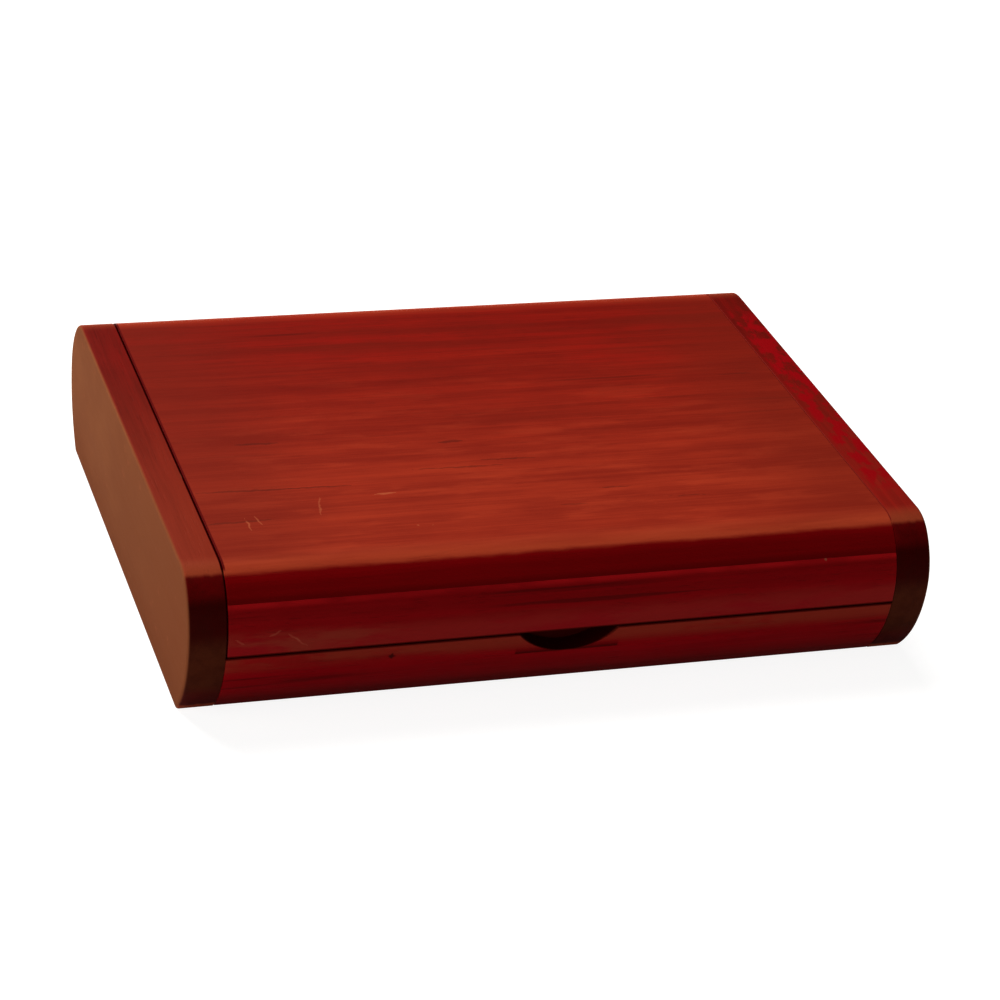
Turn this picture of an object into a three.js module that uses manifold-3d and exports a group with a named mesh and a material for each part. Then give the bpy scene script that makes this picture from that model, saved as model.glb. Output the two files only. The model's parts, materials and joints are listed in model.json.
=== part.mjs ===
// Poker chip case: a flip-top hardwood box. Two end blocks carry the full outline. A bottom panel and
// two rails join them, and a lid made of a top panel and two rails turns on two hidden pins at the back.
// Inside, two chip racks stand on either side of a card well and a well for dice and the dealer button.
//
// Millimetres. X runs along the case, +Y to the hinge side, +Z up. The origin is on the underside, at
// the middle of the end blocks.
import * as THREE from 'three';
import { mergeVertices } from 'three/addons/utils/BufferGeometryUtils.js';
import Module from 'manifold-3d';

const wasm = await Module();
wasm.setup();

// ---- Outline of the case, seen from its end -----------------------------------------------------
const caseLength = 280;
const caseDepth = 219.2;
const caseHeight = 57.4;
const widestHeight = 33.2; // the front and back bulge furthest at this height
const topSetback = 13.8; // the flat top's edge, in from the widest line
const bottomSetback = 13.8; // the underside's edge, in from the widest line

// ---- End blocks ---------------------------------------------------------------------------------
const blockThickness = 13.8;
const blockEdgeRound = 1.4;

// ---- Base and lid -------------------------------------------------------------------------------
const railDepth = 25.6; // from the widest line to a rail's inner face
const seamHeight = 27.7; // middle of the joint between base and lid
const seamGap = 0.5;
const bottomThickness = 4.5;
const rabbetWidth = 4; // the bottom panel's seat in the rails
const lidPanelThickness = 10.2;
const lidGapLeft = 0.8; // the lid sits nearer to the right block
const lidGapRight = 0.4;

// ---- Thumb notch in the base's front rail -------------------------------------------------------
const notchWidth = 38.5;
const notchDrop = 9.3;
const notchReach = 11; // in from the widest line

// ---- Hinge and joinery --------------------------------------------------------------------------
const hingeOpenDegrees = 100;
const beadRadius = 4.8; // round lower edge of the lid's back rail, about the pin
const hingeClearance = 0.5;
const lipReach = 6; // the stretch of the lid's back face that turns over the base's lip
const pinDiameter = 3;
const pinBlockDepth = 9;
const pinLidDepth = 12;
const dowelDiameter = 8;
const dowelBlockDepth = 9;
const dowelRailDepth = 14;
const dowelInset = 10; // in from the rail's inner face
const endChamfer = 0.6; // on the ends of pins and dowels

// ---- Interior -----------------------------------------------------------------------------------
const chipDiameter = 39;
const chipClearance = 1.5;
const rackRows = 2;
const rackWall = 2.4;
const rackFloor = 1.5; // wood left under a trough
const rackHeight = 21.5;
const partitionThickness = 3.5;
const partitionHeight = 21.5;
const cardWellLength = 91;
const feltThickness = 1;
const liningThickness = 0.7;

// ---- Clearances and smoothness ------------------------------------------------------------------
const fitGap = 0.3; // around every piece that is glued, seated or plugged in
const arcSteps = 12;
const roundSides = 24;
const roundSteps = 3;

// ---- Values that follow from those above --------------------------------------------------------
const halfDepth = caseDepth / 2;
const upperRadius = faceRadius(topSetback, caseHeight - widestHeight);
const lowerRadius = faceRadius(bottomSetback, widestHeight);
const innerHalfLength = caseLength / 2 - blockThickness;
const innerHalfDepth = halfDepth - railDepth;
const baseTop = seamHeight - seamGap / 2;
const lidBottom = seamHeight + seamGap / 2;
const panelBottom = caseHeight - lidPanelThickness;
const floorHeight = bottomThickness + fitGap;
const troughRadius = (chipDiameter + chipClearance) / 2;
const rackWidth = rackRows * 2 * troughRadius + (rackRows + 1) * rackWall;
const hingeHeight = lidBottom;
const hingeDepth = faceDepth(hingeHeight) - beadRadius;
const coveRadius = beadRadius + hingeClearance;
const dowelHeight = (floorHeight + hingeHeight - coveRadius) / 2;
const lidLeft = -innerHalfLength + lidGapLeft;
const lidRight = innerHalfLength - lidGapRight;

// ---- Finishes -----------------------------------------------------------------------------------
const finishes = {
  block: { color: 0x7a2417, roughness: 0.42 },
  top: { color: 0x8a2418, roughness: 0.33 },
  rail: { color: 0x5c0c0c, roughness: 0.35 },
  inner: { color: 0x74301f, roughness: 0.6 },
  felt: { color: 0x16402c, roughness: 0.95 },
  dowel: { color: 0xcaa878, roughness: 0.7 },
  steel: { color: 0xb4b6b8, roughness: 0.3, metalness: 1 },
};

// ---- Outline geometry ---------------------------------------------------------------------------

// The radius of an arc that starts upright at the widest line and moves in by setback over rise.
function faceRadius(setback, rise) {
  return (setback ** 2 + rise ** 2) / (2 * setback);
}

// How far out the back face is at a height. The front face mirrors it.
function faceDepth(height) {
  const radius = height < widestHeight ? lowerRadius : upperRadius;
  return halfDepth - radius + Math.sqrt(radius ** 2 - (height - widestHeight) ** 2);
}

// Points along an arc about (centreX, centreY), from one angle to another.
function arcPoints(centreX, centreY, radius, fromAngle, toAngle) {
  const clockwise = toAngle < fromAngle;
  const curve = new THREE.EllipseCurve(centreX, centreY, radius, radius, fromAngle, toAngle, clockwise, 0);
  return curve.getPoints(arcSteps);
}

// The back face between two heights, from the lower to the upper.
function backFace(lowHeight, highHeight) {
  const stretches = [
    { radius: lowerRadius, from: lowHeight, to: Math.min(highHeight, widestHeight) },
    { radius: upperRadius, from: Math.max(lowHeight, widestHeight), to: highHeight },
  ];
  return stretches
    .filter(({ from, to }) => to > from)
    .flatMap(({ radius, from, to }) => {
      const fromAngle = Math.asin((from - widestHeight) / radius);
      const toAngle = Math.asin((to - widestHeight) / radius);
      return arcPoints(halfDepth - radius, widestHeight, radius, fromAngle, toAngle);
    });
}

// The same stretch of the front face, from the upper height to the lower.
function frontFace(lowHeight, highHeight) {
  return backFace(lowHeight, highHeight)
    .map((point) => new THREE.Vector2(-point.x, point.y))
    .reverse();
}

// A closed shape from corner points and stretches of arc, without repeated points.
function outline(...pieces) {
  const points = pieces.flat();
  const distinct = points.filter((point, index) => {
    const previous = points[(index + points.length - 1) % points.length];
    return point.distanceTo(previous) > 1e-5;
  });
  return new THREE.Shape(distinct);
}

function corner(across, up) {
  return new THREE.Vector2(across, up);
}

// ---- Solids -------------------------------------------------------------------------------------

// A (Y, Z) section carried along X, starting at x = 0.
function extrudeAlongX(shape, length, bevel = { bevelEnabled: false }) {
  const geometry = new THREE.ExtrudeGeometry(shape, { depth: length, steps: 1, ...bevel });
  const axes = new THREE.Matrix4().makeBasis(
    new THREE.Vector3(0, 1, 0),
    new THREE.Vector3(0, 0, 1),
    new THREE.Vector3(1, 0, 0),
  );
  return geometry.applyMatrix4(axes);
}

// An (X, Z) section carried along Y, centred on y = 0.
function extrudeAlongY(shape, length) {
  const geometry = new THREE.ExtrudeGeometry(shape, { depth: length, steps: 1, bevelEnabled: false });
  return geometry.rotateX(Math.PI / 2).translate(0, length / 2, 0);
}

// A box between two corners.
function boxBetween(low, high) {
  const size = high.map((value, axis) => value - low[axis]);
  const middle = high.map((value, axis) => (value + low[axis]) / 2);
  return new THREE.BoxGeometry(...size).translate(...middle);
}

// A round bar along X from x = 0, with chamfered ends.
function roundBar(diameter, length, chamfer) {
  const radius = diameter / 2;
  const profile = [
    [0, 0],
    [radius - chamfer, 0],
    [radius, chamfer],
    [radius, length - chamfer],
    [radius - chamfer, length],
    [0, length],
  ].map(([across, along]) => new THREE.Vector2(across, along));
  return new THREE.LatheGeometry(profile, roundSides).rotateZ(-Math.PI / 2);
}

// A plain round cutter along X, centred on x = 0, that reaches depth to either side.
function drill(diameter, depth) {
  return new THREE.CylinderGeometry(diameter / 2, diameter / 2, 2 * depth, roundSides).rotateZ(Math.PI / 2);
}

function toSolid(geometry) {
  const bare = new THREE.BufferGeometry();
  bare.setAttribute('position', geometry.getAttribute('position').clone());
  if (geometry.index) bare.setIndex(geometry.index.clone());
  const merged = mergeVertices(bare, 1e-5);
  const mesh = new wasm.Mesh({
    numProp: 3,
    vertProperties: new Float32Array(merged.getAttribute('position').array),
    triVerts: new Uint32Array(merged.index.array),
  });
  return new wasm.Manifold(mesh);
}

function toGeometry(solid) {
  const { vertProperties, triVerts } = solid.getMesh();
  const geometry = new THREE.BufferGeometry();
  geometry.setAttribute('position', new THREE.BufferAttribute(new Float32Array(vertProperties), 3));
  geometry.setIndex(new THREE.BufferAttribute(new Uint32Array(triVerts), 1));
  geometry.computeVertexNormals();
  return geometry;
}

// The geometry with each cutter taken out of it.
function cutBy(geometry, cutters) {
  return toGeometry(cutters.reduce((solid, cutter) => solid.subtract(toSolid(cutter)), toSolid(geometry)));
}

function piece(name, geometry, finish) {
  const mesh = new THREE.Mesh(geometry, new THREE.MeshStandardMaterial(finish));
  mesh.name = name;
  return mesh;
}

// ---- Where pins and dowels go -------------------------------------------------------------------
const dowelDepth = innerHalfDepth + dowelInset;
const sides = [
  { name: 'left', sign: -1, lidGap: lidGapLeft },
  { name: 'right', sign: 1, lidGap: lidGapRight },
];
const faces = [
  { name: 'front', sign: -1 },
  { name: 'back', sign: 1 },
];

// Holes for the dowels and the hinge pin in a block whose inner face is at x.
function blockHoles(x) {
  const dowelHoles = faces.map((face) =>
    drill(dowelDiameter + 2 * fitGap, dowelBlockDepth).translate(x, face.sign * dowelDepth, dowelHeight));
  const pinHole = drill(pinDiameter + 2 * fitGap, pinBlockDepth).translate(x, hingeDepth, hingeHeight);
  return [...dowelHoles, pinHole];
}

// ---- End blocks: the whole outline in solid wood, rounded over on the outside only --------------
function endBlock(side) {
  const shape = outline(
    [corner(-faceDepth(0), 0), corner(faceDepth(0), 0)],
    backFace(0, caseHeight),
    frontFace(0, caseHeight),
  );
  const rounded = extrudeAlongX(shape, blockThickness, {
    bevelEnabled: true,
    bevelThickness: blockEdgeRound,
    bevelSize: blockEdgeRound,
    bevelOffset: -blockEdgeRound,
    bevelSegments: roundSteps,
  });
  const innerFace = side.sign * innerHalfLength;
  const outerFace = side.sign * caseLength / 2;
  const start = outerFace - side.sign * blockEdgeRound - (side.sign > 0 ? blockThickness : 0);
  rounded.translate(start, 0, 0);
  const beyond = innerFace - side.sign * 2 * blockThickness;
  const waste = boxBetween(
    [Math.min(innerFace, beyond), -caseDepth, -caseHeight],
    [Math.max(innerFace, beyond), caseDepth, 2 * caseHeight],
  );
  return piece(`${side.name}_end_block`, cutBy(rounded, [waste, ...blockHoles(innerFace)]), finishes.block);
}

// ---- Base ---------------------------------------------------------------------------------------
const railLength = 2 * (innerHalfLength - fitGap);

// The corners of a base rail's inner side, with the seat for the bottom panel, from the top down.
function railInnerSide() {
  return [
    corner(innerHalfDepth, baseTop),
    corner(innerHalfDepth, floorHeight),
    corner(innerHalfDepth + rabbetWidth, floorHeight),
    corner(innerHalfDepth + rabbetWidth, 0),
  ];
}

function railDowelHoles() {
  return sides.map((side) =>
    drill(dowelDiameter + 2 * fitGap, dowelRailDepth)
      .translate(side.sign * railLength / 2, dowelDepth, dowelHeight));
}

function baseFrontRail() {
  const shape = outline(railInnerSide(), backFace(0, baseTop));
  const blank = extrudeAlongX(shape, railLength).translate(-railLength / 2, 0, 0);
  const notchRadius = ((notchWidth / 2) ** 2 + notchDrop ** 2) / (2 * notchDrop);
  const scoop = new THREE.CylinderGeometry(notchRadius, notchRadius, 2 * notchReach, 4 * roundSides)
    .translate(0, halfDepth, 0)
    .applyMatrix4(new THREE.Matrix4().makeTranslation(0, 0, baseTop - notchDrop + notchRadius));
  const rail = cutBy(blank, [scoop, ...railDowelHoles()]);
  return piece('base_front_rail', rail.rotateZ(Math.PI), finishes.rail);
}

// Where the relief for the opened lid leaves the base's back face, going out from a point in a direction.
function lipPoint(start, direction) {
  const centre = corner(halfDepth - lowerRadius, widestHeight);
  const toStart = start.clone().sub(centre);
  const along = toStart.dot(direction);
  const reach = -along + Math.sqrt(along ** 2 - toStart.lengthSq() + lowerRadius ** 2);
  return start.clone().addScaledVector(direction, reach);
}

// The top of the back rail is hollowed about the hinge pin, then slopes out to a lip, so that the lid's
// back face comes to rest just over the slope when the lid is fully open.
function baseBackRail() {
  const lean = Math.atan2(faceDepth(hingeHeight + lipReach) - faceDepth(hingeHeight), lipReach);
  const slopeStart = -THREE.MathUtils.degToRad(hingeOpenDegrees) - lean;
  const coveEnd = -Math.PI + Math.asin((hingeHeight - baseTop) / coveRadius);
  const cove = arcPoints(hingeDepth, hingeHeight, coveRadius, slopeStart, coveEnd);
  const lip = lipPoint(cove[0], corner(-Math.sin(slopeStart), Math.cos(slopeStart)));
  const shape = outline(railInnerSide(), backFace(0, lip.y), cove);
  const blank = extrudeAlongX(shape, railLength).translate(-railLength / 2, 0, 0);
  return piece('base_back_rail', cutBy(blank, railDowelHoles()), finishes.rail);
}

function bottomPanel() {
  const halfWidth = innerHalfDepth + rabbetWidth - fitGap;
  const halfLength = innerHalfLength - fitGap;
  const panel = boxBetween([-halfLength, -halfWidth, 0], [halfLength, halfWidth, bottomThickness]);
  return piece('bottom_panel', panel, finishes.inner);
}

function railDowel(side, face) {
  const length = dowelBlockDepth + dowelRailDepth - fitGap;
  const dowel = roundBar(dowelDiameter, length, endChamfer).translate(-length / 2, 0, 0);
  const mesh = piece(`dowel_${face.name}_${side.name}`, dowel, finishes.dowel);
  const middle = innerHalfLength + (dowelBlockDepth - dowelRailDepth - fitGap) / 2;
  mesh.position.set(side.sign * middle, face.sign * dowelDepth, dowelHeight);
  return mesh;
}

function hingePin(side) {
  const length = pinBlockDepth + side.lidGap + pinLidDepth - 2 * fitGap;
  const pin = roundBar(pinDiameter, length, endChamfer).translate(-length / 2, 0, 0);
  const mesh = piece(`hinge_pin_${side.name}`, pin, finishes.steel);
  const middle = innerHalfLength + (pinBlockDepth - side.lidGap - pinLidDepth) / 2;
  mesh.position.set(side.sign * middle, hingeDepth, hingeHeight);
  return mesh;
}

// ---- Interior -----------------------------------------------------------------------------------

// A block with half-round troughs along Y, one for each row of chips. x = 0 is its left side.
function rackShape() {
  const axisHeight = rackFloor + troughRadius;
  const mouthAngle = Math.asin(Math.max(0, axisHeight - rackHeight) / troughRadius);
  const mouthHalf = troughRadius * Math.cos(mouthAngle);
  const points = [corner(0, rackHeight), corner(0, 0), corner(rackWidth, 0), corner(rackWidth, rackHeight)];
  for (let row = rackRows - 1; row >= 0; row -= 1) {
    const axis = rackWall + troughRadius + row * (2 * troughRadius + rackWall);
    points.push(corner(axis + mouthHalf, rackHeight));
    points.push(...arcPoints(axis, axisHeight, troughRadius, -mouthAngle, mouthAngle - Math.PI));
    points.push(corner(axis - mouthHalf, rackHeight));
  }
  return outline(points);
}

const innerLength = 2 * (innerHalfDepth - fitGap); // of what lies between the rails, along Y
const rackOuterSide = innerHalfLength - fitGap;
const partitionOuterSide = rackOuterSide - rackWidth - fitGap;
const wellHalfWidth = partitionOuterSide - partitionThickness;
const crossFront = -innerHalfDepth + cardWellLength;

function chipRack(side) {
  const rack = piece(`chip_rack_${side.name}`, extrudeAlongY(rackShape(), innerLength), finishes.inner);
  const leftSide = side.sign < 0 ? -rackOuterSide : rackOuterSide - rackWidth;
  rack.position.set(leftSide, 0, floorHeight);
  return rack;
}

function sidePartition(side) {
  const wall = new THREE.BoxGeometry(partitionThickness, innerLength, partitionHeight);
  const mesh = piece(`partition_${side.name}`, wall, finishes.inner);
  const middle = partitionOuterSide - partitionThickness / 2;
  mesh.position.set(side.sign * middle, 0, floorHeight + partitionHeight / 2);
  return mesh;
}

function crossPartition() {
  const half = wellHalfWidth - fitGap;
  const wall = boxBetween(
    [-half, crossFront, floorHeight],
    [half, crossFront + partitionThickness, floorHeight + partitionHeight],
  );
  return piece('partition_cross', wall, finishes.inner);
}

function wellFelt(name, front, back) {
  const half = wellHalfWidth - fitGap;
  const felt = boxBetween(
    [-half, front + fitGap, floorHeight],
    [half, back - fitGap, floorHeight + feltThickness],
  );
  return piece(name, felt, finishes.felt);
}

// ---- Lid ----------------------------------------------------------------------------------------
const lidLength = lidRight - lidLeft;
const lidRailTop = panelBottom - fitGap;

function lidTopPanel() {
  const shape = outline(backFace(panelBottom, caseHeight), frontFace(panelBottom, caseHeight));
  return piece('lid_top_panel', extrudeAlongX(shape, lidLength).translate(lidLeft, 0, 0), finishes.top);
}

function lidFrontRail() {
  const shape = outline(
    [corner(innerHalfDepth, lidRailTop), corner(innerHalfDepth, lidBottom)],
    backFace(lidBottom, lidRailTop),
  );
  const rail = extrudeAlongX(shape, lidLength).translate(-lidRight, 0, 0).rotateZ(Math.PI);
  return piece('lid_front_rail', rail, finishes.rail);
}

function lidBackRail() {
  const shape = outline(
    [corner(innerHalfDepth, lidRailTop), corner(innerHalfDepth, lidBottom)],
    arcPoints(hingeDepth, hingeHeight, beadRadius, -Math.PI, 0),
    backFace(hingeHeight, lidRailTop),
  );
  const blank = extrudeAlongX(shape, lidLength).translate(lidLeft, 0, 0);
  const pinHoles = [lidLeft, lidRight].map((x) =>
    drill(pinDiameter + 2 * fitGap, pinLidDepth).translate(x, hingeDepth, hingeHeight));
  return piece('lid_back_rail', cutBy(blank, pinHoles), finishes.rail);
}

function lidLining() {
  const lining = boxBetween(
    [lidLeft + 2 * fitGap, -innerHalfDepth + 2 * fitGap, panelBottom - fitGap - liningThickness],
    [lidRight - 2 * fitGap, innerHalfDepth - 2 * fitGap, panelBottom - fitGap],
  );
  return piece('lid_lining', lining, finishes.felt);
}

// ---- Assembly -----------------------------------------------------------------------------------
const pokerChipCase = new THREE.Group();
pokerChipCase.name = 'poker_chip_case';

const base = new THREE.Group();
base.name = 'base';
base.add(...sides.map(endBlock), bottomPanel(), baseFrontRail(), baseBackRail());
base.add(...sides.map(hingePin), ...sides.flatMap((side) => faces.map((face) => railDowel(side, face))));
base.add(...sides.map(chipRack), ...sides.map(sidePartition), crossPartition());
base.add(wellFelt('card_well_felt', -innerHalfDepth, crossFront));
base.add(wellFelt('dice_well_felt', crossFront + partitionThickness, innerHalfDepth));

// Turning this group about -X opens the lid: its own origin is on the hinge pins.
const lid = new THREE.Group();
lid.name = 'lid';
lid.position.set(0, hingeDepth, hingeHeight);
for (const part of [lidTopPanel(), lidFrontRail(), lidBackRail(), lidLining()]) {
  part.position.set(0, -hingeDepth, -hingeHeight);
  lid.add(part);
}

pokerChipCase.add(base, lid);

export default pokerChipCase;
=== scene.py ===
"""A flip-top hardwood poker chip case, drawn over its packed design. Metres, +Z up, the front is -Y."""
import json
import math

import bmesh
import bpy
from mathutils import Matrix, Quaternion, Vector


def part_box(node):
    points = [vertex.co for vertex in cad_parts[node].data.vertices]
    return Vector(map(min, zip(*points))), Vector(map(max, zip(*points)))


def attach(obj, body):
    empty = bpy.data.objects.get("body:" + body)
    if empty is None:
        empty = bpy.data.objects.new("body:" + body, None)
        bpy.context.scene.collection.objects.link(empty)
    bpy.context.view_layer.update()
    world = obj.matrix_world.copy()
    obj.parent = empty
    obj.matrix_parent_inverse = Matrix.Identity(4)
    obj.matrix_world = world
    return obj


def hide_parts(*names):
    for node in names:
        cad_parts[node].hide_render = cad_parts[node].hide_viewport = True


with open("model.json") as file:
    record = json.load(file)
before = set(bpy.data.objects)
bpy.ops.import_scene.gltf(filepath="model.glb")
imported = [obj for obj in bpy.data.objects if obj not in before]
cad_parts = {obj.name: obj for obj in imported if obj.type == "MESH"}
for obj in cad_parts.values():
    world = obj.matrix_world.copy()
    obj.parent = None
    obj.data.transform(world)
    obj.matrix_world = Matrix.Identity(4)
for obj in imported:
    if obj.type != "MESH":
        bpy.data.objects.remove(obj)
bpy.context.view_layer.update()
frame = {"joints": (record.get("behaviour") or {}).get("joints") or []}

# ---- Camera -------------------------------------------------------------------------------------
# A long lens above the left front corner, with the camera tilted a little to one side.
camera_place = Vector((-0.35113, -0.96906, 0.58635))
camera_aim = Vector((0.00296, -0.01472, 0.0281))
camera_tilt = math.radians(6.08)
camera_lens = 109.0
sensor_width = 36

bpy.ops.object.camera_add(location=camera_place)
camera = bpy.context.object
camera.name = "case_camera"
camera.data.lens = camera_lens
camera.data.sensor_width = sensor_width
camera.rotation_mode = "QUATERNION"
toward_case = (camera_aim - camera_place).to_track_quat("-Z", "Y")
camera.rotation_quaternion = toward_case @ Quaternion((0, 0, 1), camera_tilt)
bpy.context.scene.camera = camera

# ---- Studio -------------------------------------------------------------------------------------
# A pale seamless floor and surround, which the camera sees bright while they throw only a part of
# that light back, one large soft light above and behind, and weaker ones on the left and low in front.
floor_size = 12.0
floor_drop = 0.0002
seen_white = (1.0, 1.0, 1.0, 1)
floor_seen_shade = 0.2
floor_glow = 0.9
floor_return = 0.78
surround_fill = 0.11
print_gamma = 0.8

bpy.context.scene.view_settings.view_transform = "Standard"
bpy.context.scene.view_settings.gamma = print_gamma

bpy.ops.mesh.primitive_plane_add(size=floor_size, location=(0, 0, -floor_drop))
studio_floor = bpy.context.object
studio_floor.name = "studio_floor"
floor_finish = bpy.data.materials.new("studio_floor")
floor_finish.use_nodes = True
floor_tree = floor_finish.node_tree
floor_tree.nodes.clear()
floor_output = floor_tree.nodes.new("ShaderNodeOutputMaterial")
floor_thrown = floor_tree.nodes.new("ShaderNodeBsdfDiffuse")
floor_thrown.inputs["Color"].default_value = (floor_return, floor_return, floor_return, 1)
floor_paint = floor_tree.nodes.new("ShaderNodeBsdfDiffuse")
floor_paint.inputs["Color"].default_value = (floor_seen_shade, floor_seen_shade, floor_seen_shade, 1)
floor_light = floor_tree.nodes.new("ShaderNodeEmission")
floor_light.inputs["Color"].default_value = seen_white
floor_light.inputs["Strength"].default_value = floor_glow
lit_floor = floor_tree.nodes.new("ShaderNodeAddShader")
floor_seen = floor_tree.nodes.new("ShaderNodeMixShader")
floor_ray = floor_tree.nodes.new("ShaderNodeLightPath")
floor_tree.links.new(floor_paint.outputs[0], lit_floor.inputs[0])
floor_tree.links.new(floor_light.outputs[0], lit_floor.inputs[1])
floor_tree.links.new(floor_ray.outputs["Is Camera Ray"], floor_seen.inputs[0])
floor_tree.links.new(floor_thrown.outputs[0], floor_seen.inputs[1])
floor_tree.links.new(lit_floor.outputs[0], floor_seen.inputs[2])
floor_tree.links.new(floor_seen.outputs[0], floor_output.inputs["Surface"])
studio_floor.data.materials.append(floor_finish)

surround = bpy.data.worlds.new("pale_surround")
bpy.context.scene.world = surround
surround.use_nodes = True
air = surround.node_tree
air_seen = air.nodes["Background"]
air_seen.inputs["Color"].default_value = seen_white
air_fill = air.nodes.new("ShaderNodeBackground")
air_fill.inputs["Color"].default_value = seen_white
air_fill.inputs["Strength"].default_value = surround_fill
air_ray = air.nodes.new("ShaderNodeLightPath")
air_mix = air.nodes.new("ShaderNodeMixShader")
air.links.new(air_ray.outputs["Is Camera Ray"], air_mix.inputs[0])
air.links.new(air_fill.outputs[0], air_mix.inputs[1])
air.links.new(air_seen.outputs[0], air_mix.inputs[2])
air.links.new(air_mix.outputs[0], air.nodes["World Output"].inputs["Surface"])


def add_soft_light(name, place, aim, size, watts, colour):
    bpy.ops.object.light_add(type="AREA", location=place)
    light = bpy.context.object
    light.name = name
    light.visible_camera = False
    light.data.shape = "RECTANGLE"
    light.data.size, light.data.size_y = size
    light.data.energy = watts
    light.data.color = colour
    direction = Vector(aim) - Vector(place)
    light.rotation_mode = "QUATERNION"
    light.rotation_quaternion = direction.to_track_quat("-Z", "Y")


add_soft_light("back_light", (-0.7, 1.75, 2.4), (0, 0, 0), (2.0, 2.0), 185, (1, 0.97, 0.93))
add_soft_light("side_light", (-2.4, -0.3, 0.9), (0, 0, 0.03), (1.4, 1.0), 30, (1, 0.95, 0.88))
add_soft_light("front_light", (-0.5, -3.2, 0.55), (0, 0, 0.03), (2.4, 0.9), 45, (1, 0.97, 0.94))

# ---- End blocks ---------------------------------------------------------------------------------
# Two solid blocks of dark red stained hardwood with the grain running from front to back. They
# carry the case's full outline, are rounded over on the outside, and are doweled and glued to the
# base rails. Their fronts and backs are end grain, which takes the stain dark; painted shade makes
# them near black below the crease and a painted floor reflection makes them olive brown lower down.
# Their outer faces are a matte brown, partly a browner stain and partly a painted sheen.
block_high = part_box("left_end_block")[1]
half_depth = block_high.y
case_height = block_high.z
block_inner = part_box("right_end_block")[0].x
half_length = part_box("right_end_block")[1].x
widest_height = 0.0332
top_setback = 0.0138
bottom_setback = 0.0138
crease_radius = 0.015
block_round = 0.0014
eased = 0.00035
arc_steps = 36
same_point = 2e-6
touching = 1e-5
smooth_below = math.radians(12)


def face_radius(setback, rise):
    """The radius of an arc that is upright at the widest line and moves in by setback over rise."""
    return (setback**2 + rise**2) / (2 * setback)


upper_radius = face_radius(top_setback, case_height - widest_height)
lower_radius = face_radius(bottom_setback, widest_height)


def face_point(height):
    """The point of the back face at a height."""
    radius = lower_radius if height < widest_height else upper_radius
    return half_depth - radius + math.sqrt(radius**2 - (height - widest_height) ** 2), height


# Where the back face rolls over onto the flat top: the centre of the roll and where it starts.
roll_up = case_height - crease_radius
roll_rise = roll_up - widest_height
flat_edge = half_depth - upper_radius + math.sqrt((upper_radius - crease_radius) ** 2 - roll_rise**2)
roll_angle = math.atan2(roll_rise, flat_edge - half_depth + upper_radius)
roll_start = widest_height + upper_radius * math.sin(roll_angle)


def back_face(low, high):
    """The arcs of the back face from a low height to a high one, as (centre Y, centre Z, turn)."""
    arcs = []
    for radius, start, end in (
        (lower_radius, low, min(high, widest_height)),
        (upper_radius, max(low, widest_height), min(high, roll_start)),
    ):
        if end > start:
            turn = math.asin((end - widest_height) / radius) - math.asin((start - widest_height) / radius)
            arcs.append((half_depth - radius, widest_height, turn))
    if high > roll_start:
        arcs.append((flat_edge, roll_up, math.pi / 2 - roll_angle))
    return arcs


def front_face(low, high):
    """The mirror image of back_face, from the high height down to the low one."""
    return [(-across, up, turn) for across, up, turn in reversed(back_face(low, high))]


def draw_solid(name, start, strokes, length, across=(0, 1, 0), away=(1, 0, 0)):
    """A closed outline drawn in the plane of across and Z, then carried along away.
    A stroke of two numbers is a line to that point, and one of three is an arc about the point of
    the first two, through the third's angle."""
    across, away = Vector(across), Vector(away)
    turn_axis = -across.cross(Vector((0, 0, 1)))
    bpy.ops.object.select_all(action="DESELECT")
    bpy.ops.mesh.primitive_plane_add(size=0.001)
    solid = bpy.context.object
    solid.name = name
    solid.data.name = name
    bpy.ops.object.mode_set(mode="EDIT")
    bpy.ops.mesh.select_all(action="SELECT")
    bpy.ops.mesh.merge(type="CENTER")
    point = across * start[0] + Vector((0, 0, start[1]))
    bpy.ops.transform.translate(value=point)
    for stroke in strokes:
        centre = across * stroke[0] + Vector((0, 0, stroke[1]))
        if len(stroke) == 2:
            bpy.ops.mesh.extrude_vertices_move(TRANSFORM_OT_translate={"value": centre - point})
            point = centre
        else:
            steps = max(6, round(arc_steps * abs(stroke[2])))
            bpy.ops.mesh.spin(steps=steps, angle=stroke[2], center=centre, axis=turn_axis)
            point = centre + Matrix.Rotation(-stroke[2], 3, turn_axis) @ (point - centre)
    bpy.ops.mesh.select_all(action="SELECT")
    bpy.ops.mesh.remove_doubles(threshold=same_point)
    bpy.ops.mesh.edge_face_add()
    bpy.ops.mesh.extrude_region_move(TRANSFORM_OT_translate={"value": away * length})
    bpy.ops.mesh.select_all(action="SELECT")
    bpy.ops.mesh.normals_make_consistent(inside=False)
    bpy.ops.object.mode_set(mode="OBJECT")
    return solid


def pick(solid):
    """Makes one piece the only one that the next operator acts on."""
    bpy.ops.object.select_all(action="DESELECT")
    solid.select_set(True)
    bpy.context.view_layer.objects.active = solid


def edit(solid):
    """Opens one piece in edit mode, with all of it selected."""
    pick(solid)
    bpy.ops.object.mode_set(mode="EDIT")
    bpy.ops.mesh.select_all(action="SELECT")


def shift(solid, offset):
    edit(solid)
    bpy.ops.transform.translate(value=offset)
    bpy.ops.object.mode_set(mode="OBJECT")


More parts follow.
